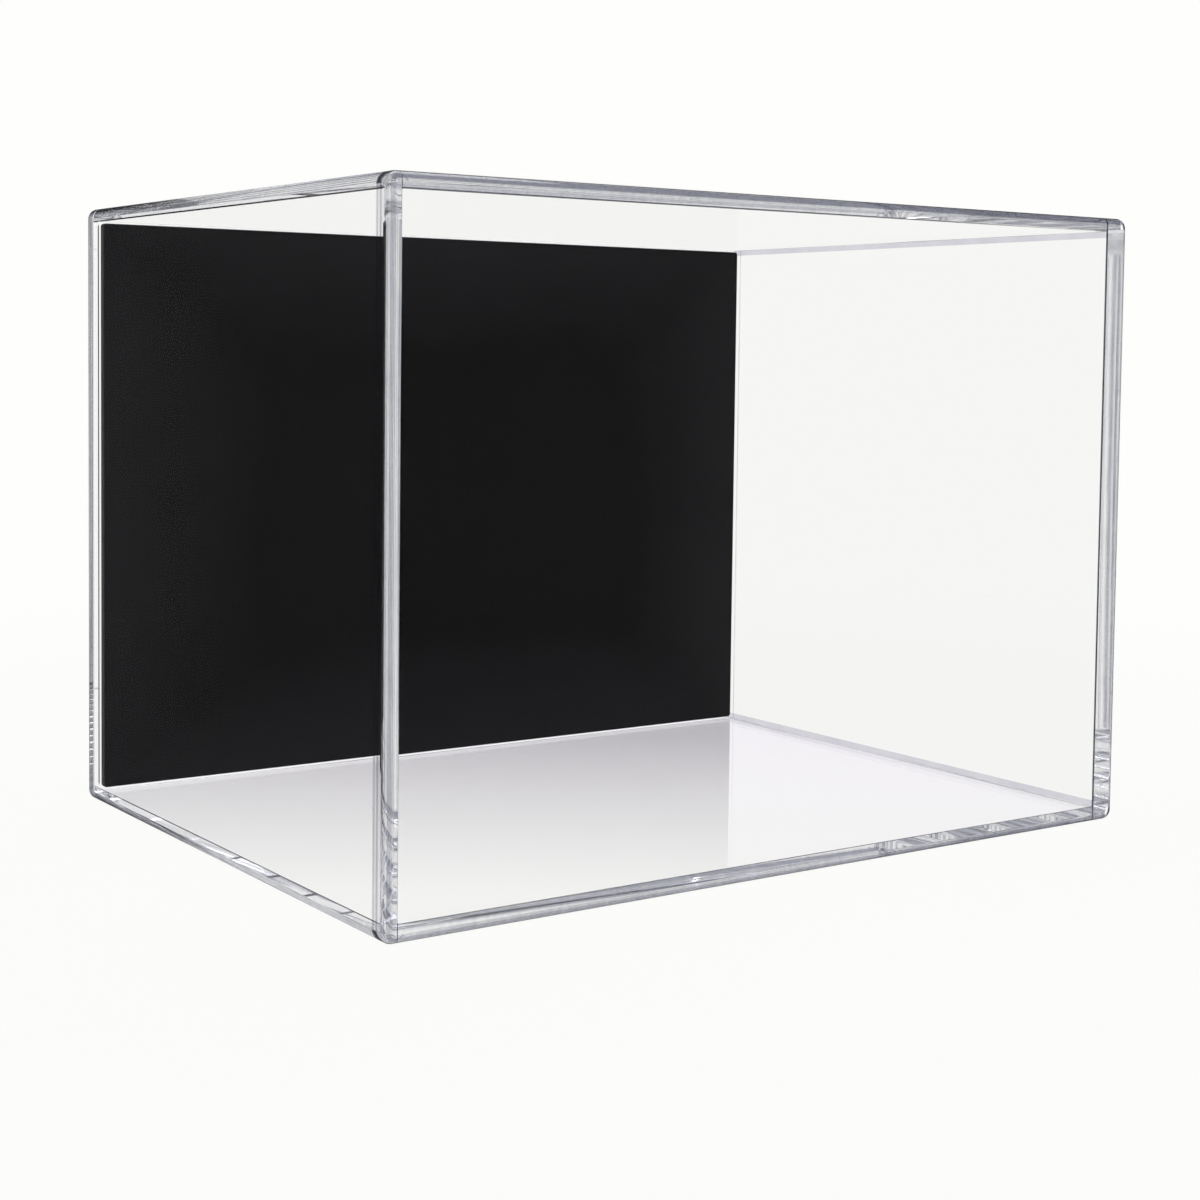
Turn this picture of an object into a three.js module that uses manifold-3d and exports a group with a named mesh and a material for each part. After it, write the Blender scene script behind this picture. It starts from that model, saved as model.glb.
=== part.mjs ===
// Mini helmet display case. Five clear acrylic panels are cemented into a box that is open at
// the back. A clear back plate closes it, and carries a black panel that plugs the opening.
// Millimetres, +Z up. The origin is the middle of the underside, and the case faces -Y.
import * as THREE from 'three';
import { LoftGeometry } from 'three/addons/geometries/LoftGeometry.js';
import { mergeVertices } from 'three/addons/utils/BufferGeometryUtils.js';
import Module from 'manifold-3d';

const wasm = await Module();
wasm.setup();

// Outside of the closed case: 8 by 6 by 5 3/4 inches
const caseWidth = 203;
const caseDepth = 152;
const caseHeight = 146;

// Sheet thicknesses. The upright clear sheets are all cut from the same stock.
const wallThickness = 4.75;
const topThickness = 3.2;
const floorThickness = 3.2;
const blackPanelThickness = 2;

// Polished edges: the four edges that run from front to back, the front and back rims, and the
// small arris on each side of the seam where the back plate meets the box
const longEdgeRadius = 2.5;
const rimRadius = 2;
const seamArris = 0.3;

// The black panel's fit in the opening, its corners and its scraped edges
const plugClearance = 0.4;
const blackCornerRadius = 0.8;
const blackArris = 0.25;

// How far a cutting block runs past the skin that it cuts
const overrun = 10;

// Steps in a quarter round
const roundSteps = 8;

// Places that several pieces share
const frontFace = -caseDepth / 2;
const backFace = caseDepth / 2;
const seam = backFace - wallThickness;
const innerFront = frontFace + wallThickness;
const innerSide = caseWidth / 2 - wallThickness;
const innerFloor = floorThickness;
const innerTop = caseHeight - topThickness;

// Materials

const clearAcrylic = (name) => new THREE.MeshStandardMaterial({
  name,
  color: 0xe9eaf2,
  roughness: 0.05,
  metalness: 0,
  transparent: true,
  opacity: 0.3,
});

const blackAcrylic = () => new THREE.MeshStandardMaterial({
  name: 'satin_black_acrylic',
  color: 0x1c1c1e,
  roughness: 0.45,
  metalness: 0,
});

// Solids

function solidOf(geometry) {
  const bare = new THREE.BufferGeometry();
  bare.setAttribute('position', geometry.getAttribute('position'));
  bare.setIndex(geometry.getIndex());
  const merged = mergeVertices(bare);
  const vertProperties = Float32Array.from(merged.attributes.position.array);
  const triVerts = Uint32Array.from(merged.index.array);
  return new wasm.Manifold(new wasm.Mesh({ numProp: 3, vertProperties, triVerts }));
}

function geometryOf(solid) {
  const mesh = solid.getMesh();
  const geometry = new THREE.BufferGeometry();
  geometry.setAttribute('position', new THREE.BufferAttribute(mesh.vertProperties, 3));
  geometry.setIndex(new THREE.BufferAttribute(mesh.triVerts, 1));
  geometry.computeVertexNormals();
  return geometry;
}

function block([x0, y0, z0], [x1, y1, z1]) {
  const geometry = new THREE.BoxGeometry(x1 - x0, y1 - y0, z1 - z0);
  geometry.translate((x0 + x1) / 2, (y0 + y1) / 2, (z0 + z1) / 2);
  return solidOf(geometry);
}

// Outer skin. A section is the case's upright outline at one depth, drawn in by an inset that
// the corner arcs follow, so that insets along a quarter circle give a round rim.

function section(y, inset) {
  const radius = longEdgeRadius - inset;
  const arcX = caseWidth / 2 - longEdgeRadius;
  const lowArcZ = longEdgeRadius;
  const highArcZ = caseHeight - longEdgeRadius;
  const corners = [[arcX, lowArcZ], [arcX, highArcZ], [-arcX, highArcZ], [-arcX, lowArcZ]];
  const points = [];
  corners.forEach(([x, z], corner) => {
    for (let step = 0; step <= roundSteps; step += 1) {
      const angle = (corner - 1 + step / roundSteps) * Math.PI / 2;
      points.push(new THREE.Vector3(x + radius * Math.cos(angle), y, z + radius * Math.sin(angle)));
    }
  });
  return points;
}

// Stations of a rim from its flat face inwards. The side is 1 where the case lies towards +Y of
// the face, and -1 where it lies towards -Y.
function rim(face, side) {
  const stations = [];
  for (let step = 0; step <= roundSteps; step += 1) {
    const angle = (step / roundSteps) * Math.PI / 2;
    stations.push({
      y: face + side * rimRadius * (1 - Math.cos(angle)),
      inset: rimRadius * (1 - Math.sin(angle)),
    });
  }
  return stations;
}

function skin(stations) {
  const sections = stations.map(({ y, inset }) => section(y, inset).reverse());
  return new LoftGeometry(sections, { capStart: true, capEnd: true });
}

const boxSkin = solidOf(skin([
  ...rim(frontFace, 1),
  { y: seam - seamArris, inset: 0 },
  { y: seam, inset: seamArris },
]));

// Panels of the box. The front panel covers the whole front. The side panels stand behind it at
// the full height, and the floor and the top are set between them.

const panelCut = (low, high) => geometryOf(boxSkin.intersect(block(low, high)));

const outX = caseWidth / 2 + overrun;
const outFront = frontFace - overrun;
const outBack = backFace + overrun;
const under = -overrun;
const over = caseHeight + overrun;

const frontPanel = () => panelCut(
  [-outX, outFront, under],
  [outX, innerFront, over],
);

const leftSidePanel = () => panelCut(
  [-outX, innerFront, under],
  [-innerSide, outBack, over],
);

const rightSidePanel = () => panelCut(
  [innerSide, innerFront, under],
  [outX, outBack, over],
);

const bottomPanel = () => panelCut(
  [-innerSide, innerFront, under],
  [innerSide, outBack, innerFloor],
);

const topPanel = () => panelCut(
  [-innerSide, innerFront, innerTop],
  [innerSide, outBack, over],
);

// Lift-off back. The clear plate carries on the skin of the box past the seam.

const backPlate = () => geometryOf(solidOf(skin([
  { y: seam, inset: seamArris },
  { y: seam + seamArris, inset: 0 },
  ...rim(backFace, -1).reverse(),
])));

// The black panel lies on the inner face of the back plate, inside the opening.
function blackBackPanel() {
  const halfWidth = innerSide - plugClearance - blackArris;
  const low = innerFloor + plugClearance + blackArris;
  const high = innerTop - plugClearance - blackArris;
  const radius = blackCornerRadius;
  const shape = new THREE.Shape();
  shape.moveTo(-halfWidth + radius, low);
  shape.lineTo(halfWidth - radius, low);
  shape.absarc(halfWidth - radius, low + radius, radius, -Math.PI / 2, 0, false);
  shape.lineTo(halfWidth, high - radius);
  shape.absarc(halfWidth - radius, high - radius, radius, 0, Math.PI / 2, false);
  shape.lineTo(-halfWidth + radius, high);
  shape.absarc(-halfWidth + radius, high - radius, radius, Math.PI / 2, Math.PI, false);
  shape.lineTo(-halfWidth, low + radius);
  shape.absarc(-halfWidth + radius, low + radius, radius, Math.PI, 1.5 * Math.PI, false);
  const geometry = new THREE.ExtrudeGeometry(shape, {
    depth: blackPanelThickness - 2 * blackArris,
    curveSegments: roundSteps,
    bevelEnabled: true,
    bevelSegments: 1,
    bevelSize: blackArris,
    bevelThickness: blackArris,
  });
  geometry.rotateX(Math.PI / 2);
  geometry.translate(0, seam - blackArris, 0);
  return geometry;
}

// Assembly

function piece(name, geometry, material) {
  const mesh = new THREE.Mesh(geometry, material);
  mesh.name = name;
  return mesh;
}

const box = new THREE.Group();
box.name = 'clear_box';
box.add(piece('bottom_panel', bottomPanel(), clearAcrylic('clear_acrylic')));
box.add(piece('top_panel', topPanel(), clearAcrylic('clear_acrylic')));
box.add(piece('front_panel', frontPanel(), clearAcrylic('clear_acrylic')));
box.add(piece('left_side_panel', leftSidePanel(), clearAcrylic('clear_acrylic')));
box.add(piece('right_side_panel', rightSidePanel(), clearAcrylic('clear_acrylic')));

const back = new THREE.Group();
back.name = 'removable_back';
back.add(piece('back_plate', backPlate(), clearAcrylic('clear_acrylic')));
back.add(piece('black_back_panel', blackBackPanel(), blackAcrylic()));

const displayCase = new THREE.Group();
displayCase.name = 'mini_helmet_display_case';
displayCase.add(box, back);

export default displayCase;
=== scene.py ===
import math

import bmesh
import bpy
from bpy.props import FloatProperty, FloatVectorProperty, PointerProperty
from mathutils import Matrix, Vector


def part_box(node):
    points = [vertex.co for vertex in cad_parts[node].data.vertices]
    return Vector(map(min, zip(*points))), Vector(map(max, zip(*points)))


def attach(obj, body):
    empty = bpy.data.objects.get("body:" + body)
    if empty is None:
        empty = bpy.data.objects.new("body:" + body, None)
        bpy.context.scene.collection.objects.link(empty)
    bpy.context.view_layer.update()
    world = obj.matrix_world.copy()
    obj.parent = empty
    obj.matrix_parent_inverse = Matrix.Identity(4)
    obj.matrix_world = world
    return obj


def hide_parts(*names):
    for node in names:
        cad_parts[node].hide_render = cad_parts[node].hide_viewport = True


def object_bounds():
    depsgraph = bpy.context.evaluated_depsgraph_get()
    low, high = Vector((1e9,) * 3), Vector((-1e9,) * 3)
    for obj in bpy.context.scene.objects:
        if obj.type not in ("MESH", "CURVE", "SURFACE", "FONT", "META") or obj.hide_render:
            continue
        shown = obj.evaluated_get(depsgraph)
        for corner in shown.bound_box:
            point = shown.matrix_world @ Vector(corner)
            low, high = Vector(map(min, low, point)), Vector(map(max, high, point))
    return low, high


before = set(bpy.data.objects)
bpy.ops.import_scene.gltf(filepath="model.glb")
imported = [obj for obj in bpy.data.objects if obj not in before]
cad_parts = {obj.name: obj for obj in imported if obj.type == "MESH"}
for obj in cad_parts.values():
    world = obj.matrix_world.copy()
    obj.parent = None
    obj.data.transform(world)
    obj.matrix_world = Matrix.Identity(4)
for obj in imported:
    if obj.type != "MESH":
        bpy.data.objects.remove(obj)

bl_info = {
    "name": "Mini helmet display case",
    "version": (1, 0, 0),
    "blender": (4, 5, 0),
    "location": "View3D > Sidebar > Display case",
    "description": "Builds a clear acrylic display case with a lift-off black back",
    "category": "Object",
}

# The CAD box, taken before any piece is added
CAD_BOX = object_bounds()
CAD_LOW, CAD_HIGH = CAD_BOX

# Corners of the nodes that settle where the sheets meet
FLOOR_LOW, FLOOR_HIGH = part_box("bottom_panel")
TOP_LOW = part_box("top_panel")[0]
FRONT_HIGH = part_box("front_panel")[1]
PLATE_LOW, PLATE_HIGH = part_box("back_plate")
BLACK_LOW, BLACK_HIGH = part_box("black_back_panel")

# Axes by number
X, Y, Z = 0, 1, 2

# Two points closer than this are in one place
TOUCH = 1e-6

# A face whose normal is this close to an axis is flat, and not part of a rounded edge
FLAT = 0.99999

# Share of a scraped arris's normal that lies along an axis
SLANT = (0.1, 0.9)

# Steps in each rounded edge
ROUND_STEPS = 12

# A clear sheet's materials, by slot. The black sheet has the first two.
FACE, EDGE, JOINT, SCRAPED, CEMENT = range(5)

# Refractive index of acrylic
SHEET_INDEX = 1.49

# Fresnel share from which on light can't leave the sheet
TRAPPED = 0.999

# Share of a clean sheet's mirroring that the walls and the top show in the photograph, and that
# the floor shows at its near and its far end
WALL_MIRROR = 0.02
# The floor's share changes by place and not by angle: a painted reflection, strong far back and
# faint at the front
FLOOR_PAINTED_REFLECTION = (0.03, 0.8)

# Ends of that change on the floor, measured towards the backdrop
FLOOR_PAINTED_REFLECTION_REACH = (-0.09, 0.08)

# Lines that the scraper leaves on a buffed edge: how many lie across a turn of the surface away
# from the front and from the side, and how many in a metre of flat edge there
TURN_LINES_FRONT, TURN_LINES_SIDE = 6, 4
FLAT_LINES_FRONT, FLAT_LINES_SIDE = 700, 500

# The scraper's duller last facet: how far its normal points to the front where it starts and ends
FACET_START = (0.74, 0.78)
FACET_END = (0.94, 0.97)

# How dull a facet is, how strong the painted shade on the front's top edge is, and how dull a
# gripped edge is, beside a scraped line
FACET_DULL = 0.9
TOP_EDGE_SHADE = 2.0
GRIPPED_DULL = 0.35

# Tilt of the buffing wheel's streaks, and their width beside their length
STREAK_TILT = tuple(math.radians(angle) for angle in (35, 35, 25))
STREAK_STRETCH = (1, 1, 0.12)

# Roughness of the finishes, from their smoothest to their roughest marks
WIPED_ROUGH = (0, 0.02)
BUFFED_ROUGH = (0.01, 0.04)
SCRAPED_ROUGH = (0.02, 0.12)
SATIN_ROUGH = (0.38, 0.5)
SAWN_ROUGH = 0.6

# Relief of marks: its strength in the shading, and its height
STREAK_RELIEF = (0.006, 0.0001)
GRAIN_RELIEF = (0.03, 0.00005)
SAW_RELIEF = (0.2, 0.0001)

# Parts of a noise's range in which marks go from faint to full
WIPE_SPAN = (0.45, 0.75)
LINE_SPAN = (0.52, 0.6)
STREAK_SPAN = (0.35, 0.75)
RUN_SPAN = (0.3, 0.8)
ROOM_SPAN = (0.45, 0.55)

# How far the front's rounded top edge faces up where it has no painted shade and where its painted
# shade is darkest
TOP_EDGE_SHADE_SPAN = (0.14, 0.34)

# Where the dulling of the back's edges begins and is full, from the seam
GRIPPED_SPAN = (-0.0001, 0.0002)

# Weight of all wear and painted shade beside the streaks, and the sum at which the tint is
# lightest and darkest
WEAR_AND_SHADE_WEIGHT = 1.2
WEAR_AND_SHADE_SPAN = (0.35, 2.85)

# How far an edge turns away from the eye where its painted outline shade begins and is darkest
PAINTED_OUTLINE_SPAN = (0.55, 0.85)

# Bubbles in a joint: radius where they begin to fade and where they end, as shares of the gap
# between them, and how milky they are
BUBBLE_SPAN = (0.02, 0.05)
BUBBLE_MILK = 0.5

# Most that a run of dried cement clears and roughens its film
RUN_SHARE = 0.25

# Bloom on the black sheet: where it begins and is full, as a share of the way out from the
# middle, and how uneven that is
BLOOM_SPAN = (0.7, 1.2)
BLOOM_UNEVEN = 0.25

# Specular level of the black sheet's face. A polished face has 0.5.
BLACK_GLOSS = 0.08

# Marks that lie side by side in a metre
WIPES = 40
STREAKS = 800
CHATTER = 1200
BUBBLES = 160
CEMENT_RUNS = 120
BLOOM_PATCHES = 25
SATIN_GRAIN = 3300
SAW_MARKS = 2000
FIBRES = 1000

# Light and dim parts of the room, side by side in a step of 1 in direction
ROOM_PATCHES = 1.8

# Paper under the case: half its width, how far it lies below, the share of dull paper under the
# case, and the distances from the middle between which that share fades out
PAPER_REACH = 3
PAPER_DROP = 0.0002
PAPER_DULL = 0.03
PAPER_FADE = (0.15, 0.5)

# Where the paper behind the case begins, as the share of a direction towards it, and where the
# white walls end, as the share of a direction upwards
BACKDROP_EDGE = (0.45, 0.8)
WALL_TOP = (0.25, 0.45)

# Light runs along the sheets for many turns before it leaves an edge
BOUNCES = {"max_bounces": 64, "transmission_bounces": 32, "glossy_bounces": 48,
           "transparent_max_bounces": 32}

# Soft lamp above the case: width, depth, power and place
LAMP_SIZE = (0.9, 0.6)
LAMP_POWER = 6
LAMP_PLACE = (0.1, 0.1, 1.1)

# Where the photograph was taken from
TOWARDS_BACKDROP = Vector((0.5686, 0.8226, 0))
CAMERA_PLACE = Vector((-0.2874, -0.4100, 0.1131))
CAMERA_YAW, CAMERA_PITCH, CAMERA_ROLL = (math.radians(a) for a in (34.651, 3.218, 0.676))
CAMERA_SENSOR = 36
CAMERA_LENS = 61.485
CAMERA_SHIFT = (0.0119, -0.1127)
CAMERA_CLIP = (0.01, 20)


def srgb(code):
    """A hex colour as the linear values that a shader takes."""
    channels = [int(code[i:i + 2], 16) / 255 for i in (1, 3, 5)]
    return [c / 12.92 if c <= 0.04045 else ((c + 0.055) / 1.055) ** 2.4 for c in channels]


def size_property(name, description, default, low, high):
    return FloatProperty(name=name, description=description, default=default, min=low, max=high,
                         unit="LENGTH")


def colour_property(name, description, code):
    return FloatVectorProperty(name=name, description=description, default=srgb(code), size=3,
                               min=0, max=1, subtype="COLOR")


class CaseSizes(bpy.types.PropertyGroup):
    long_edge_radius: size_property(
        "Long edge radius",
        "Round of the four edges that run from front to back",
        0.0025, 0.0005, 0.004)
    rim_radius: size_property(
        "Rim radius",
        "Round of the edges of the front and of the back",
        0.002, 0.0005, 0.004)
    seam_arris: size_property(
        "Seam arris",
        "Round of the edges on each side of the seam at the back",
        0.0003, 0.0001, 0.001)
    joint_arris: size_property(
        "Joint arris",
        "Scraped inner edge of the top and the side sheets where they are cemented",
        0.0003, 0.0001, 0.001)
    floor_arris: size_property(
        "Floor arris",
        "Scraped inner edge of the floor where it is cemented",
        0.00015, 0.00005, 0.001)
    cement_line: size_property(
        "Cement line",
        "Height of the line of dried cement on the right sheet at the floor and top",
        0.0014, 0.0001, 0.003)
    seam_gap: size_property(
        "Seam gap",
        "Film of air in front of the back sheet, and between it and the black sheet",
        0.00005, 0.00001, 0.0005)
    black_corner_radius: size_property(
        "Black corner radius",
        "Round of the black sheet's four corners",
        0.0008, 0.0001, 0.004)
    black_arris: size_property(
        "Black arris",
        "Scraped edge of the black sheet",
        0.00025, 0.0001, 0.0008)


class CaseColours(bpy.types.PropertyGroup):
    sheet: colour_property(
        "Clear sheet",
        "Tint of the clear sheet seen through its faces", "#fdfdfd")
    # Painted reflection: the floor's lilac tint where its painted reflection of the black sheet is
    # strong
    floor_painted_reflection_tint: colour_property(
        "Clear floor where it mirrors",
        "Tint of the clear floor where it mirrors the black sheet", "#fcfaff")
    edge_light: colour_property(
        "Buffed edge, light streaks",
        "Tint of the clear sheet seen through its best buffed streaks", "#ffffff")
    # Also the colour of the painted shade on the front's top edge
    edge_dark_and_shade: colour_property(
        "Buffed edge, dark streaks",
        "Tint of the clear sheet seen through its duller streaks", "#a9abb6")
    # Painted shade on the rounded edges where they turn away from the eye
    edge_painted_outline_shade: colour_property(
        "Buffed edge, seen edge on",
        "Tint of the clear sheet's rounded edges where they turn away", "#84868f")
    joint: colour_property(
        "Cemented joint",
        "Tint of each face of a cemented joint", "#f8f8f9")
    cement: colour_property(
        "Cement line",
        "Tint of the line of dried cement", "#d5d4de")
    scraped: colour_property(
        "Scraped joint edge",
        "Tint of the clear sheet's scraped edges that were left unbuffed", "#6a6c76")
    black: colour_property(
        "Black sheet",
        "Colour of the satin black sheet", "#0c0c0e")
    black_bloom: colour_property(
        "Black sheet, bloom",
        "Colour of the satin black sheet near its edges", "#262628")
    backdrop: colour_property(
        "Backdrop",
        "Colour of the lit paper and the white walls", "#fefefc")
    room_light: colour_property(
        "Light part of the room",
        "Colour of the light parts above the walls, which the clear edges gather", "#ececf0")
    room_dim: colour_property(
        "Dim part of the room",
        "Colour of the dim parts above the walls, which the clear edges gather", "#c6c8ce")
    room_mirrored: colour_property(
        "Room in reflections",
        "Colour that the outsides of the sheets mirror", "#2c2c30")


# Node trees

def add(tree, kind, settings=None, inputs=()):
    """Adds a node and sets its properties and inputs. The inputs go by name or number, or in
    their order. Each is a value or the output of another node."""
    node = tree.nodes.new(kind)
    for name, value in (settings or {}).items():
        setattr(node, name, value)
    for socket, value in inputs.items() if isinstance(inputs, dict) else enumerate(inputs):
        if isinstance(value, bpy.types.NodeSocket):
            tree.links.new(value, node.inputs[socket])
        else:
            node.inputs[socket].default_value = value
    return node


def new_material(name):
    material = bpy.data.materials.new(name)
    material.use_nodes = True
    material.node_tree.nodes.clear()
    return material, material.node_tree


def colour(values):
    return (values[0], values[1], values[2], 1)


def sheet_surface(tree, tint, rough, mirror, normal=None):
    """A surface with the sheet's index. It bends light, throws back the light that can't leave
    the sheet, and mirrors the given share of what a clean sheet mirrors besides."""
    turned = {"Normal": normal} if normal else {}
    fresnel = add(tree, "ShaderNodeFresnel", {}, {"IOR": SHEET_INDEX, **turned})
    trapped = add(tree, "ShaderNodeMath", {"operation": "GREATER_THAN"},
                  [fresnel.outputs["Fac"], TRAPPED])
    kept = add(tree, "ShaderNodeMath", {"operation": "MULTIPLY"},
               [fresnel.outputs["Fac"], mirror])
    share = add(tree, "ShaderNodeMath", {"operation": "MAXIMUM"},
                [trapped.outputs["Value"], kept.outputs["Value"]])
    bends = add(tree, "ShaderNodeBsdfRefraction", {},
                {"Color": tint, "Roughness": rough, "IOR": SHEET_INDEX, **turned})
    mirrors = add(tree, "ShaderNodeBsdfAnisotropic", {},
                  {"Color": (1, 1, 1, 1), "Roughness": rough, **turned})
    both = add(tree, "ShaderNodeMixShader", {},
               [share.outputs["Value"], bends.outputs["BSDF"], mirrors.outputs["BSDF"]])
    add(tree, "ShaderNodeOutputMaterial", {}, {"Surface": both.outputs["Shader"]})


def wipe_haze(tree, place):
    """Cloth wipes leave soft marks about 25 mm wide."""
    haze = add(tree, "ShaderNodeTexNoise", {},
               {"Vector": place.outputs["Object"], "Scale": WIPES, "Detail": 1})
    rough = add(tree, "ShaderNodeMapRange", {},
                [haze.outputs["Fac"], *WIPE_SPAN, *WIPED_ROUGH])
    return rough.outputs["Result"]


def cast_acrylic_wall(colours):
    """Cast acrylic sheet (PMMA), cast between glass plates. The faces are as smooth as the plates
    were, and show only a faint wipe haze. The lighting keeps reflections off the walls."""
    found = bpy.data.materials.get("cast_acrylic_wall")
    if found:
        return found
    material, tree = new_material("cast_acrylic_wall")
    place = add(tree, "ShaderNodeTexCoord")
    sheet_surface(tree, colour(colours.sheet), wipe_haze(tree, place), WALL_MIRROR)
    return material


def cast_acrylic_floor(colours):
    """The same sheet as a floor. Its mirroring of the black sheet is a painted reflection set by
    place: strong far back, faint towards the viewer, and tinted lilac where it is strong."""
    material, tree = new_material("cast_acrylic_floor")
    place = add(tree, "ShaderNodeTexCoord")
    # Painted reflection: the mirror share and the lilac tint rise by place towards the backdrop
    along = add(tree, "ShaderNodeVectorMath", {"operation": "DOT_PRODUCT"},
                [place.outputs["Object"], TOWARDS_BACKDROP])
    mirror = add(tree, "ShaderNodeMapRange", {},
                 [along.outputs["Value"], *FLOOR_PAINTED_REFLECTION_REACH, *FLOOR_PAINTED_REFLECTION])
    tint = add(tree, "ShaderNodeMix", {"data_type": "RGBA"},
               {0: mirror.outputs["Result"],
                6: colour(colours.sheet), 7: colour(colours.floor_painted_reflection_tint)})
    sheet_surface(tree, tint.outputs["Result"], wipe_haze(tree, place), mirror.outputs["Result"])
    return material


def scraped_lines(tree, turn, point):
    """Scraped lines keep their place across the edge, so they follow the turn of its surface and
    the depth from the outside. On a round of 2 mm they are about 0.4 mm apart."""
    across = None
    for source, lines, low, high in (
            (turn.outputs["Y"], TURN_LINES_FRONT, 0, 1),
            (turn.outputs["X"], TURN_LINES_SIDE, 0, 1),
            (point.outputs["Y"], FLAT_LINES_FRONT, -FRONT_HIGH.y, -CAD_LOW.y),
            (point.outputs["X"], FLAT_LINES_SIDE, FLOOR_HIGH.x, CAD_HIGH.x)):
        either_side = add(tree, "ShaderNodeMath", {"operation": "ABSOLUTE"}, [source])
        counted = add(tree, "ShaderNodeMapRange", {},
                      [either_side.outputs["Value"], low, high, 0, lines * (high - low)])
        if across is None:
            across = counted.outputs["Result"]
        else:
            both = add(tree, "ShaderNodeMath", {"operation": "ADD"},
                       [across, counted.outputs["Result"]])
            across = both.outputs["Value"]
    lines = add(tree, "ShaderNodeTexNoise", {"noise_dimensions": "1D"},
                {"W": across, "Scale": 1, "Detail": 2})
    marks = add(tree, "ShaderNodeMapRange", {"interpolation_type": "SMOOTHSTEP"},
                [lines.outputs["Fac"], *LINE_SPAN])
    return marks.outputs["Result"]


def buffed_edge(colours):
    """The cut edges of the same sheet, sawn, scraped, rounded and buffed. The scraper leaves fine
    lines that run with the edge and the buffing wheel leaves faint slanting streaks. Painted shade
    darkens the front's top edge, and the rounded edges where they turn away from the eye."""
    found = bpy.data.materials.get("buffed_acrylic_edge")
    if found:
        return found
    material, tree = new_material("buffed_acrylic_edge")
    place = add(tree, "ShaderNodeTexCoord")
    turn = add(tree, "ShaderNodeSeparateXYZ", {}, [place.outputs["Normal"]])
    point = add(tree, "ShaderNodeSeparateXYZ", {}, [place.outputs["Object"]])
    line = scraped_lines(tree, turn, point)
    # The scraper's last facet, 50 to 70 degrees from the outside, is duller than its neighbours
    front = add(tree, "ShaderNodeMath", {"operation": "ABSOLUTE"}, [turn.outputs["Y"]])
    rise = add(tree, "ShaderNodeMapRange", {"interpolation_type": "SMOOTHSTEP"},
               [front.outputs["Value"], *FACET_START])
    fall = add(tree, "ShaderNodeMapRange", {"interpolation_type": "SMOOTHSTEP"},
               [front.outputs["Value"], *FACET_END, 1, 0])
    facet = add(tree, "ShaderNodeMath", {"operation": "MULTIPLY"},
                [rise.outputs["Result"], fall.outputs["Result"]])
    drawn = add(tree, "ShaderNodeMath", {"operation": "MULTIPLY_ADD"},
                [facet.outputs["Value"], FACET_DULL, line])
    # Painted shade: the front's rounded top edge, where it faces up, is darkened
    squared = add(tree, "ShaderNodeMath", {"operation": "MULTIPLY"},
                  [front.outputs["Value"], front.outputs["Value"]])
    upward = add(tree, "ShaderNodeMath", {"operation": "MULTIPLY"},
                 [turn.outputs["Z"], squared.outputs["Value"]])
    top_shade = add(tree, "ShaderNodeMapRange", {},
                 [upward.outputs["Value"], *TOP_EDGE_SHADE_SPAN, 0, TOP_EDGE_SHADE])
    drawn_and_top_shade = add(tree, "ShaderNodeMath", {"operation": "ADD"},
                  [drawn.outputs["Value"], top_shade.outputs["Result"]])
    # The edges of the back, which is held by them to lift it off, are duller
    start, full = (PLATE_LOW.y + offset for offset in GRIPPED_SPAN)
    gripped = add(tree, "ShaderNodeMapRange", {},
                  [point.outputs["Y"], start, full, 0, GRIPPED_DULL])
    worn_and_shaded = add(tree, "ShaderNodeMath", {"operation": "ADD"},
               [drawn_and_top_shade.outputs["Value"], gripped.outputs["Result"]])
    # Streaks lean across the edge and are about 1.2 mm apart
    tilted = add(tree, "ShaderNodeMapping", {},
                 {"Vector": place.outputs["Object"],
                  "Rotation": STREAK_TILT, "Scale": STREAK_STRETCH})
    streaks = add(tree, "ShaderNodeTexNoise", {},
                  {"Vector": tilted.outputs["Vector"], "Scale": STREAKS, "Detail": 2})
    marks = add(tree, "ShaderNodeMath", {"operation": "MULTIPLY_ADD"},
                [worn_and_shaded.outputs["Value"], WEAR_AND_SHADE_WEIGHT, streaks.outputs["Fac"]])
    depth = add(tree, "ShaderNodeMapRange", {}, [marks.outputs["Value"], *WEAR_AND_SHADE_SPAN])
    tint = add(tree, "ShaderNodeMix", {"data_type": "RGBA"},
               {0: depth.outputs["Result"],
                6: colour(colours.edge_light), 7: colour(colours.edge_dark_and_shade)})
    # Painted shade: a rounded edge is darkened where it turns away from the eye, seen from outside
    facing = add(tree, "ShaderNodeLayerWeight", {}, {"Blend": 0.5})
    outline = add(tree, "ShaderNodeMapRange", {"interpolation_type": "SMOOTHSTEP"},
                  [facing.outputs["Facing"], *PAINTED_OUTLINE_SPAN])
    side = add(tree, "ShaderNodeNewGeometry")
    outer = add(tree, "ShaderNodeMath", {"operation": "SUBTRACT"},
                [outline.outputs["Result"], side.outputs["Backfacing"]])
    shaded = add(tree, "ShaderNodeMath", {"operation": "MAXIMUM"}, [outer.outputs["Value"], 0])
    darkened = add(tree, "ShaderNodeMix", {"data_type": "RGBA"},
                   {0: shaded.outputs["Value"],
                    6: tint.outputs["Result"], 7: colour(colours.edge_painted_outline_shade)})
    rough = add(tree, "ShaderNodeMapRange", {},
                [streaks.outputs["Fac"], *STREAK_SPAN, *BUFFED_ROUGH])
    strength, height = STREAK_RELIEF
    bump = add(tree, "ShaderNodeBump", {},
               {"Height": streaks.outputs["Fac"], "Strength": strength, "Distance": height})
    sheet_surface(tree, darkened.outputs["Result"], rough.outputs["Result"], 1,
                  bump.outputs["Normal"])
    return material


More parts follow.
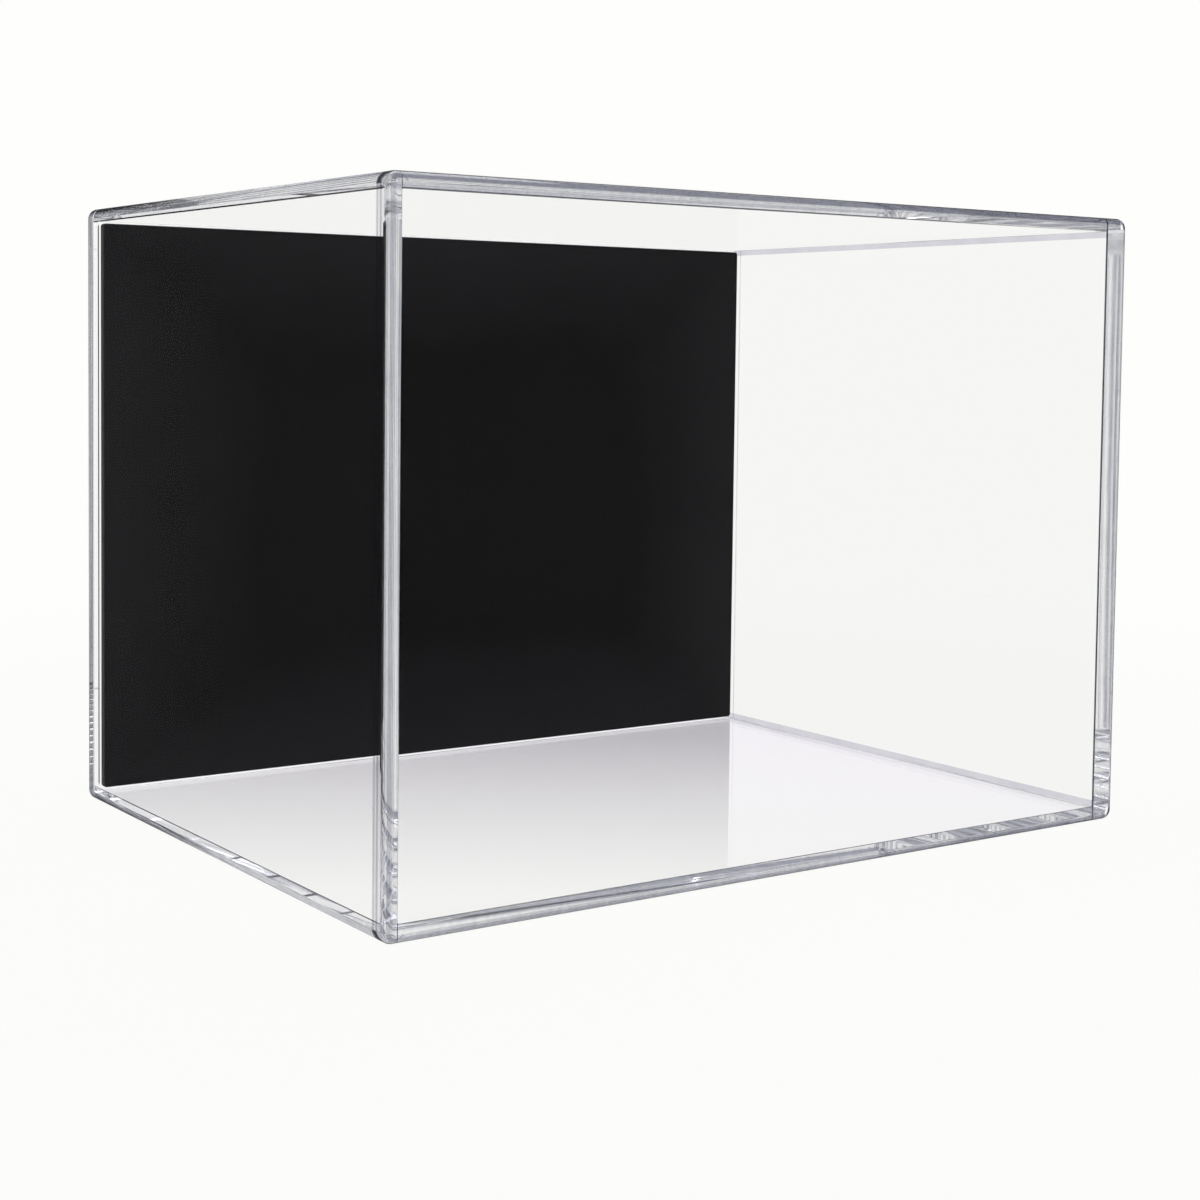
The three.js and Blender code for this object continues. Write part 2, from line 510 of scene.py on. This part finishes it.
def scraped_edge(colours):
    """The inner edges along the joints, scraped before cementing and left unbuffed. They scatter
    what they carry and look like thin grey lines."""
    found = bpy.data.materials.get("scraped_acrylic_edge")
    if found:
        return found
    material, tree = new_material("scraped_acrylic_edge")
    place = add(tree, "ShaderNodeTexCoord")
    # Chatter of the scraper about 0.8 mm apart
    chatter = add(tree, "ShaderNodeTexNoise", {},
                  {"Vector": place.outputs["Object"], "Scale": CHATTER, "Detail": 1})
    rough = add(tree, "ShaderNodeMapRange", {}, [chatter.outputs["Fac"], 0, 1, *SCRAPED_ROUGH])
    sheet_surface(tree, colour(colours.scraped), rough.outputs["Result"], 1)
    return material


def cemented_joint(colours):
    """A joint run with solvent cement, which melts the two sheets into one. It has the sheet's own
    index, so light passes straight on. The melted skin is a little duller than the sheet, and a
    few pinhead bubbles show."""
    found = bpy.data.materials.get("solvent_cemented_joint")
    if found:
        return found
    material, tree = new_material("solvent_cemented_joint")
    place = add(tree, "ShaderNodeTexCoord")
    # Bubbles of about 0.3 mm, some 6 mm apart
    cells = add(tree, "ShaderNodeTexVoronoi", {},
                {"Vector": place.outputs["Object"], "Scale": BUBBLES})
    bubble = add(tree, "ShaderNodeMapRange", {},
                 [cells.outputs["Distance"], *BUBBLE_SPAN, BUBBLE_MILK, 0])
    clear = add(tree, "ShaderNodeBsdfTransparent", {}, {"Color": colour(colours.joint)})
    milky = add(tree, "ShaderNodeBsdfTranslucent", {}, {"Color": colour(colours.edge_light)})
    mixed = add(tree, "ShaderNodeMixShader", {},
                [bubble.outputs["Result"], clear.outputs["BSDF"], milky.outputs["BSDF"]])
    add(tree, "ShaderNodeOutputMaterial", {}, {"Surface": mixed.outputs["Shader"]})
    return material


def cement_line(colours):
    """Solvent cement that crept out of the joint and dried on the sheet as a thin film. It dulls
    the sheet to a pale lilac grey and has small runs along its length."""
    found = bpy.data.materials.get("dried_cement_line")
    if found:
        return found
    material, tree = new_material("dried_cement_line")
    place = add(tree, "ShaderNodeTexCoord")
    # Runs about 8 mm apart, clearer and rougher than the film between them
    uneven = add(tree, "ShaderNodeTexNoise", {},
                 {"Vector": place.outputs["Object"], "Scale": CEMENT_RUNS, "Detail": 2})
    runs = add(tree, "ShaderNodeMapRange", {}, [uneven.outputs["Fac"], *RUN_SPAN, 0, RUN_SHARE])
    tint = add(tree, "ShaderNodeMix", {"data_type": "RGBA"},
               {0: runs.outputs["Result"], 6: colour(colours.cement), 7: colour(colours.sheet)})
    sheet_surface(tree, tint.outputs["Result"], runs.outputs["Result"], WALL_MIRROR)
    return material


def satin_black(colours):
    """Black cast acrylic with a satin face, rolled to kill glare. It gives the eye a deep even
    black that is a little lighter towards its edges."""
    material, tree = new_material("satin_black_acrylic")
    place = add(tree, "ShaderNodeTexCoord")
    # Distance from the middle, as a share of the half width and the half height
    middle = (BLACK_LOW + BLACK_HIGH) / 2
    half = (BLACK_HIGH - BLACK_LOW) / 2
    centred = add(tree, "ShaderNodeMapping", {"vector_type": "TEXTURE"},
                  {"Vector": place.outputs["Object"],
                   "Location": middle, "Scale": (half.x, 1, half.z)})
    parts = add(tree, "ShaderNodeSeparateXYZ", {}, [centred.outputs["Vector"]])
    sideways = add(tree, "ShaderNodeMath", {"operation": "ABSOLUTE"}, [parts.outputs["X"]])
    upwards = add(tree, "ShaderNodeMath", {"operation": "ABSOLUTE"}, [parts.outputs["Z"]])
    edge = add(tree, "ShaderNodeMath", {"operation": "MAXIMUM"},
               [sideways.outputs["Value"], upwards.outputs["Value"]])
    # Uneven bloom in patches about 40 mm wide
    patches = add(tree, "ShaderNodeTexNoise", {},
                  {"Vector": place.outputs["Object"], "Scale": BLOOM_PATCHES, "Detail": 4})
    uneven = add(tree, "ShaderNodeMath", {"operation": "MULTIPLY_ADD"},
                 [patches.outputs["Fac"], BLOOM_UNEVEN, edge.outputs["Value"]])
    bloom = add(tree, "ShaderNodeMapRange", {}, [uneven.outputs["Value"], *BLOOM_SPAN])
    tone = add(tree, "ShaderNodeMix", {"data_type": "RGBA"},
               {0: bloom.outputs["Result"],
                6: colour(colours.black), 7: colour(colours.black_bloom)})
    # Satin grain of about 0.3 mm
    grain = add(tree, "ShaderNodeTexNoise", {},
                {"Vector": place.outputs["Object"], "Scale": SATIN_GRAIN, "Detail": 1})
    rough = add(tree, "ShaderNodeMapRange", {}, [grain.outputs["Fac"], 0, 1, *SATIN_ROUGH])
    strength, height = GRAIN_RELIEF
    bump = add(tree, "ShaderNodeBump", {},
               {"Height": grain.outputs["Fac"], "Strength": strength, "Distance": height})
    shader = add(tree, "ShaderNodeBsdfPrincipled", {},
                 {"Base Color": tone.outputs["Result"], "Roughness": rough.outputs["Result"],
                  "IOR": SHEET_INDEX, "Specular IOR Level": BLACK_GLOSS,
                  "Normal": bump.outputs["Normal"]})
    add(tree, "ShaderNodeOutputMaterial", {}, {"Surface": shader.outputs["BSDF"]})
    return material


def scraped_black_edge():
    """The black sheet's sawn and scraped edge: greyer and duller than its face, with fine marks
    of the saw across its thickness."""
    material, tree = new_material("scraped_black_acrylic_edge")
    place = add(tree, "ShaderNodeTexCoord")
    # Saw marks about 0.5 mm apart along the edge
    marks = add(tree, "ShaderNodeTexNoise", {},
                {"Vector": place.outputs["Object"], "Scale": SAW_MARKS, "Detail": 1})
    tone = add(tree, "ShaderNodeMix", {"data_type": "RGBA"},
               {0: marks.outputs["Fac"],
                6: colour(srgb("#1a1a1c")), 7: colour(srgb("#333336"))})
    strength, height = SAW_RELIEF
    bump = add(tree, "ShaderNodeBump", {},
               {"Height": marks.outputs["Fac"], "Strength": strength, "Distance": height})
    shader = add(tree, "ShaderNodeBsdfPrincipled", {},
                 {"Base Color": tone.outputs["Result"], "Roughness": SAWN_ROUGH,
                  "IOR": SHEET_INDEX, "Normal": bump.outputs["Normal"]})
    add(tree, "ShaderNodeOutputMaterial", {}, {"Surface": shader.outputs["BSDF"]})
    return material


def clear_materials(colours, floor=False):
    face = cast_acrylic_floor(colours) if floor else cast_acrylic_wall(colours)
    return [face, buffed_edge(colours), cemented_joint(colours), scraped_edge(colours),
            cement_line(colours)]


# Shapes

def chamfer(bm, edges, width, segments):
    if not edges:
        raise RuntimeError("no edge to round or scrape")
    bmesh.ops.bevel(bm, geom=edges, offset=width, offset_type="OFFSET", affect="EDGES",
                    segments=segments, profile=0.5, material=-1, clamp_overlap=False)


def round_edges(bm, test, radius):
    """Rounds the edges whose two ends pass the test."""
    chamfer(bm, [edge for edge in bm.edges if test(*(vert.co for vert in edge.verts))], radius,
            ROUND_STEPS)


def scrape(bm, axis_a, value_a, axis_b, value_b, width):
    """Scrapes an arris on the edge where two flat faces meet."""
    chamfer(bm, [edge for edge in bm.edges if all(
        abs(vert.co[axis_a] - value_a) < TOUCH and abs(vert.co[axis_b] - value_b) < TOUCH
        for vert in edge.verts)], width, 1)


def rounded_form(low, high, long_radius, front_radius, rear_radius):
    """A block whose edges from front to back, front rim and rear rim are rounded."""
    bm = bmesh.new()
    bmesh.ops.create_cube(bm, size=1)
    bmesh.ops.scale(bm, vec=high - low, verts=bm.verts)
    bmesh.ops.translate(bm, vec=(low + high) / 2, verts=bm.verts)
    round_edges(bm, lambda a, b: abs(a.y - b.y) > TOUCH, long_radius)
    round_edges(bm, lambda a, b: max(abs(a.y - low.y), abs(b.y - low.y)) < TOUCH, front_radius)
    round_edges(bm, lambda a, b: max(abs(a.y - high.y), abs(b.y - high.y)) < TOUCH, rear_radius)
    return bm


def plane_of(axis, value):
    point = Vector((0, 0, 0))
    point[axis] = value
    return point


def trim(bm, axis, value, keep):
    """Saws the form across an axis, keeps what lies towards keep, and closes the cut."""
    cut = bmesh.ops.bisect_plane(
        bm, geom=bm.verts[:] + bm.edges[:] + bm.faces[:],
        plane_co=plane_of(axis, value), plane_no=plane_of(axis, -keep), clear_outer=True)
    rim = [item for item in cut["geom_cut"] if isinstance(item, bmesh.types.BMEdge)]
    bmesh.ops.holes_fill(bm, edges=rim, sides=0)


def on_plane(face, axis, value):
    return all(abs(vert.co[axis] - value) < TOUCH for vert in face.verts)


def score(bm, face_axis, face_value, axis, value):
    """Draws a line across a flat face, where the edge of another sheet meets it."""
    faces = [face for face in bm.faces if on_plane(face, face_axis, face_value)]
    edges = {edge for face in faces for edge in face.edges}
    verts = {vert for face in faces for vert in face.verts}
    bmesh.ops.bisect_plane(bm, geom=list(verts) + list(edges) + faces,
                           plane_co=plane_of(axis, value), plane_no=plane_of(axis, 1))


def open_box(sizes):
    """The rounded form of the box in front of the seam."""
    high = Vector((CAD_HIGH.x, PLATE_LOW.y - sizes.seam_gap, CAD_HIGH.z))
    return rounded_form(CAD_LOW, high, sizes.long_edge_radius, sizes.rim_radius, sizes.seam_arris)


def sheet_piece(bm, name, node, body, materials, choose):
    """Turns a finished form into a piece. The function choose gives each face its material."""
    bmesh.ops.recalc_face_normals(bm, faces=bm.faces)
    for face in bm.faces:
        face.material_index = choose(face)
        face.smooth = max(abs(part) for part in face.normal) < FLAT
    mesh = bpy.data.meshes.new(name)
    bm.to_mesh(mesh)
    bm.free()
    for material in materials:
        mesh.materials.append(material)
    piece = bpy.data.objects.new(name, mesh)
    bpy.context.scene.collection.objects.link(piece)
    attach(piece, body)
    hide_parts(node)
    return piece


class CASE_OT_front_sheet(bpy.types.Operator):
    """Front sheet, which covers the whole front, cemented to the four sheets behind it"""
    bl_idname = "case.front_sheet"
    bl_label = "Front sheet"

    def execute(self, context):
        scene = context.scene
        sizes = scene.case_sizes
        side = FLOOR_HIGH.x + sizes.joint_arris
        low, high = FLOOR_HIGH.z - sizes.floor_arris, TOP_LOW.z + sizes.joint_arris
        bm = open_box(sizes)
        trim(bm, Y, FRONT_HIGH.y, -1)
        for axis, value in ((X, -side), (X, side), (Z, low), (Z, high)):
            score(bm, Y, FRONT_HIGH.y, axis, value)

        def choose(face):
            middle = face.calc_center_median()
            if on_plane(face, Y, FRONT_HIGH.y):
                return FACE if abs(middle.x) < side and low < middle.z < high else JOINT
            return FACE if abs(face.normal.y) > FLAT else EDGE

        sheet_piece(bm, "front_sheet", "front_panel", "clear_box",
                    clear_materials(scene.case_colours), choose)
        return {"FINISHED"}


class CASE_OT_side_sheets(bpy.types.Operator):
    """Left and right sheets, full height, cemented behind the front sheet"""
    bl_idname = "case.side_sheets"
    bl_label = "Side sheets"

    def execute(self, context):
        scene = context.scene
        sizes = scene.case_sizes
        arris = sizes.joint_arris
        low, high = FLOOR_HIGH.z - sizes.floor_arris, TOP_LOW.z + arris
        # The cement crept out on the right sheet only
        crept = FLOOR_HIGH.z + sizes.cement_line, TOP_LOW.z - sizes.cement_line
        for name, node, side, (open_low, open_high) in (
                ("left_sheet", "left_side_panel", -1, (low, high)),
                ("right_sheet", "right_side_panel", 1, crept)):
            inner = side * FLOOR_HIGH.x
            bm = open_box(sizes)
            trim(bm, Y, FRONT_HIGH.y, 1)
            trim(bm, X, inner, side)
            scrape(bm, X, inner, Y, FRONT_HIGH.y, arris)
            for z in {low, open_low, open_high, high}:
                score(bm, X, inner, Z, z)

            def choose(face, inner=inner, open_low=open_low, open_high=open_high):
                middle = face.calc_center_median()
                if on_plane(face, Y, FRONT_HIGH.y):
                    return JOINT
                if on_plane(face, X, inner):
                    if not low < middle.z < high:
                        return JOINT
                    return FACE if open_low < middle.z < open_high else CEMENT
                if abs(middle.y - FRONT_HIGH.y) < arris and abs(middle.x - inner) < arris:
                    return SCRAPED
                return FACE if abs(face.normal.x) > FLAT else EDGE

            sheet_piece(bm, name, node, "clear_box",
                        clear_materials(scene.case_colours), choose)
        return {"FINISHED"}


class CASE_OT_floor_and_top(bpy.types.Operator):
    """Floor and top sheets, set between the sides and cemented on three edges"""
    bl_idname = "case.floor_and_top"
    bl_label = "Floor and top sheets"

    def execute(self, context):
        scene = context.scene
        sizes = scene.case_sizes
        cemented = ((Y, FRONT_HIGH.y), (X, FLOOR_LOW.x), (X, FLOOR_HIGH.x))
        for name, node, level, keep, arris in (
                ("floor_sheet", "bottom_panel", FLOOR_HIGH.z, -1, sizes.floor_arris),
                ("top_sheet", "top_panel", TOP_LOW.z, 1, sizes.joint_arris)):
            bm = open_box(sizes)
            for (axis, value), side in zip(cemented, (1, 1, -1)):
                trim(bm, axis, value, side)
            trim(bm, Z, level, keep)
            for axis, value in cemented:
                scrape(bm, Z, level, axis, value, arris)

            def choose(face, level=level, keep=keep, arris=arris):
                if any(on_plane(face, axis, value) for axis, value in cemented):
                    return JOINT
                slanting = SLANT[0] < abs(face.normal.z) < SLANT[1]
                if keep > 0 and slanting and face.calc_center_median().z < level + arris:
                    return SCRAPED
                return FACE if abs(face.normal.z) > FLAT else EDGE

            sheet_piece(bm, name, node, "clear_box",
                        clear_materials(scene.case_colours, name == "floor_sheet"), choose)
        return {"FINISHED"}


class CASE_OT_back_sheet(bpy.types.Operator):
    """Clear back sheet that lifts off with the black sheet on it"""
    bl_idname = "case.back_sheet"
    bl_label = "Back sheet"

    def execute(self, context):
        scene = context.scene
        sizes = scene.case_sizes
        bm = rounded_form(PLATE_LOW, PLATE_HIGH, sizes.long_edge_radius, sizes.seam_arris,
                          sizes.rim_radius)
        sheet_piece(bm, "back_sheet", "back_plate", "removable_back",
                    clear_materials(scene.case_colours),
                    lambda face: FACE if abs(face.normal.y) > FLAT else EDGE)
        return {"FINISHED"}


class CASE_OT_black_sheet(bpy.types.Operator):
    """Satin black sheet on the inside of the back"""
    bl_idname = "case.black_sheet"
    bl_label = "Black sheet"

    def execute(self, context):
        scene = context.scene
        sizes = scene.case_sizes
        high = BLACK_HIGH - Vector((0, sizes.seam_gap, 0))
        bm = rounded_form(BLACK_LOW, high, sizes.black_corner_radius, sizes.black_arris,
                          sizes.black_arris)
        sheet_piece(bm, "black_sheet", "black_back_panel", "removable_back",
                    [satin_black(scene.case_colours), scraped_black_edge()],
                    lambda face: EDGE if abs(face.normal.y) < SLANT[1] else FACE)
        return {"FINISHED"}


# Studio

def lit_paper(tree, colours, through):
    """White to the camera, and the given colour to what looks through the clear sheets. Their
    outsides mirror one dark tone."""
    path = add(tree, "ShaderNodeLightPath")
    seen = add(tree, "ShaderNodeMix", {"data_type": "RGBA"},
               {0: path.outputs["Is Transmission Ray"],
                6: colour(colours.room_mirrored), 7: through})
    lit = add(tree, "ShaderNodeMix", {"data_type": "RGBA"},
              {0: path.outputs["Is Camera Ray"],
               6: seen.outputs["Result"], 7: colour(colours.backdrop)})
    return lit.outputs["Result"]


class CASE_OT_studio(bpy.types.Operator):
    """White paper under and behind the case, white walls with a room above, lamp and camera"""
    bl_idname = "case.studio"
    bl_label = "Studio"

    def execute(self, context):
        scene = context.scene
        self.floor(scene)
        self.room(scene)
        self.lamp(scene)
        self.camera(scene)
        scene.view_settings.view_transform = "Standard"
        for name, count in BOUNCES.items():
            setattr(scene.cycles, name, count)
        return {"FINISHED"}

    def floor(self, scene):
        bm = bmesh.new()
        bmesh.ops.create_grid(bm, x_segments=1, y_segments=1, size=PAPER_REACH)
        bmesh.ops.translate(bm, vec=(0, 0, -PAPER_DROP), verts=bm.verts)
        mesh = bpy.data.meshes.new("paper_floor")
        bm.to_mesh(mesh)
        bm.free()
        material, tree = new_material("white_seamless_paper")
        place = add(tree, "ShaderNodeTexCoord").outputs["Object"]
        colours = scene.case_colours
        glow = add(tree, "ShaderNodeEmission", {},
                   {"Color": lit_paper(tree, colours, colour(colours.backdrop))})
        # Paper fibres about 1 mm long
        fibres = add(tree, "ShaderNodeTexNoise", {},
                     {"Vector": place, "Scale": FIBRES, "Detail": 2})
        tone = add(tree, "ShaderNodeMix", {"data_type": "RGBA"},
                   {0: fibres.outputs["Fac"],
                    6: colour(srgb("#f4f4f4")), 7: colour(srgb("#ffffff"))})
        dull = add(tree, "ShaderNodeBsdfDiffuse", {}, {"Color": tone.outputs["Result"]})
        # The dull share keeps the case's shadow, and fades out so that the paper has no horizon
        away = add(tree, "ShaderNodeVectorMath", {"operation": "LENGTH"}, [place])
        near = add(tree, "ShaderNodeMapRange", {"interpolation_type": "SMOOTHSTEP"},
                   [away.outputs["Value"], *PAPER_FADE, PAPER_DULL, 0])
        both = add(tree, "ShaderNodeMixShader", {},
                   [near.outputs["Result"], glow.outputs["Emission"], dull.outputs["BSDF"]])
        add(tree, "ShaderNodeOutputMaterial", {}, {"Surface": both.outputs["Shader"]})
        mesh.materials.append(material)
        floor = bpy.data.objects.new("paper_floor", mesh)
        scene.collection.objects.link(floor)

    def room(self, scene):
        colours = scene.case_colours
        world = bpy.data.worlds.new("studio_room")
        world.use_nodes = True
        tree = world.node_tree
        tree.nodes.clear()
        place = add(tree, "ShaderNodeTexCoord").outputs["Generated"]
        along = add(tree, "ShaderNodeVectorMath", {"operation": "DOT_PRODUCT"},
                    [place, TOWARDS_BACKDROP])
        behind = add(tree, "ShaderNodeMapRange", {"interpolation_type": "SMOOTHSTEP"},
                     [along.outputs["Value"], *BACKDROP_EDGE])
        height = add(tree, "ShaderNodeSeparateXYZ", {}, [place])
        walls = add(tree, "ShaderNodeMapRange", {"interpolation_type": "SMOOTHSTEP"},
                    [height.outputs["Z"], *WALL_TOP, 1, 0])
        white = add(tree, "ShaderNodeMath", {"operation": "MAXIMUM"},
                    [behind.outputs["Result"], walls.outputs["Result"]])
        # Above the walls the room is light and dim in patches
        patches = add(tree, "ShaderNodeTexNoise", {},
                      {"Vector": place, "Scale": ROOM_PATCHES, "Detail": 1})
        light = add(tree, "ShaderNodeMapRange", {"interpolation_type": "SMOOTHSTEP"},
                    [patches.outputs["Fac"], *ROOM_SPAN])
        above = add(tree, "ShaderNodeMix", {"data_type": "RGBA"},
                    {0: light.outputs["Result"],
                     6: colour(colours.room_dim), 7: colour(colours.room_light)})
        through = add(tree, "ShaderNodeMix", {"data_type": "RGBA"},
                      {0: white.outputs["Value"],
                       6: above.outputs["Result"], 7: colour(colours.backdrop)})
        sky = add(tree, "ShaderNodeBackground", {},
                  {"Color": lit_paper(tree, colours, through.outputs["Result"])})
        add(tree, "ShaderNodeOutputWorld", {}, {"Surface": sky.outputs["Background"]})
        scene.world = world

    def lamp(self, scene):
        light = bpy.data.lights.new("softbox", "AREA")
        light.shape = "RECTANGLE"
        light.size, light.size_y = LAMP_SIZE
        light.energy = LAMP_POWER
        lamp = bpy.data.objects.new("softbox", light)
        lamp.location = LAMP_PLACE
        scene.collection.objects.link(lamp)

    def camera(self, scene):
        lens = bpy.data.cameras.new("photo_camera")
        lens.sensor_width = CAMERA_SENSOR
        lens.lens = CAMERA_LENS
        lens.shift_x, lens.shift_y = CAMERA_SHIFT
        lens.clip_start, lens.clip_end = CAMERA_CLIP
        forward = Vector((math.sin(CAMERA_YAW) * math.cos(CAMERA_PITCH),
                          math.cos(CAMERA_YAW) * math.cos(CAMERA_PITCH),
                          -math.sin(CAMERA_PITCH)))
        level = forward.cross(Vector((0, 0, 1))).normalized()
        rise = level.cross(forward)
        right = level * math.cos(CAMERA_ROLL) + rise * math.sin(CAMERA_ROLL)
        up = rise * math.cos(CAMERA_ROLL) - level * math.sin(CAMERA_ROLL)
        turn = Matrix((right, up, -forward)).transposed().to_4x4()
        camera = bpy.data.objects.new("photo_camera", lens)
        camera.matrix_world = Matrix.Translation(CAMERA_PLACE) @ turn
        scene.collection.objects.link(camera)
        scene.camera = camera


OPERATORS = (
    CASE_OT_front_sheet,
    CASE_OT_side_sheets,
    CASE_OT_floor_and_top,
    CASE_OT_back_sheet,
    CASE_OT_black_sheet,
    CASE_OT_studio,
)


class CASE_PT_panel(bpy.types.Panel):
    """Pieces of the display case"""
    bl_idname = "CASE_PT_panel"
    bl_label = "Display case"
    bl_space_type = "VIEW_3D"
    bl_region_type = "UI"
    bl_category = "Display case"

    def draw(self, context):
        for group in (context.scene.case_sizes, context.scene.case_colours):
            box = self.layout.box()
            for name in group.bl_rna.properties.keys():
                if name not in ("rna_type", "name"):
                    box.prop(group, name)
        for operator in OPERATORS:
            self.layout.operator(operator.bl_idname)


CLASSES = (CaseSizes, CaseColours) + OPERATORS + (CASE_PT_panel,)


def register():
    for cls in CLASSES:
        bpy.utils.register_class(cls)
    bpy.types.Scene.case_sizes = PointerProperty(type=CaseSizes)
    bpy.types.Scene.case_colours = PointerProperty(type=CaseColours)


def unregister():
    del bpy.types.Scene.case_colours
    del bpy.types.Scene.case_sizes
    for cls in reversed(CLASSES):
        bpy.utils.unregister_class(cls)


def main():
    register()
    bpy.ops.case.front_sheet()
    bpy.ops.case.side_sheets()
    bpy.ops.case.floor_and_top()
    bpy.ops.case.back_sheet()
    bpy.ops.case.black_sheet()
    bpy.ops.case.studio()


if __name__ == "__main__":
    main()
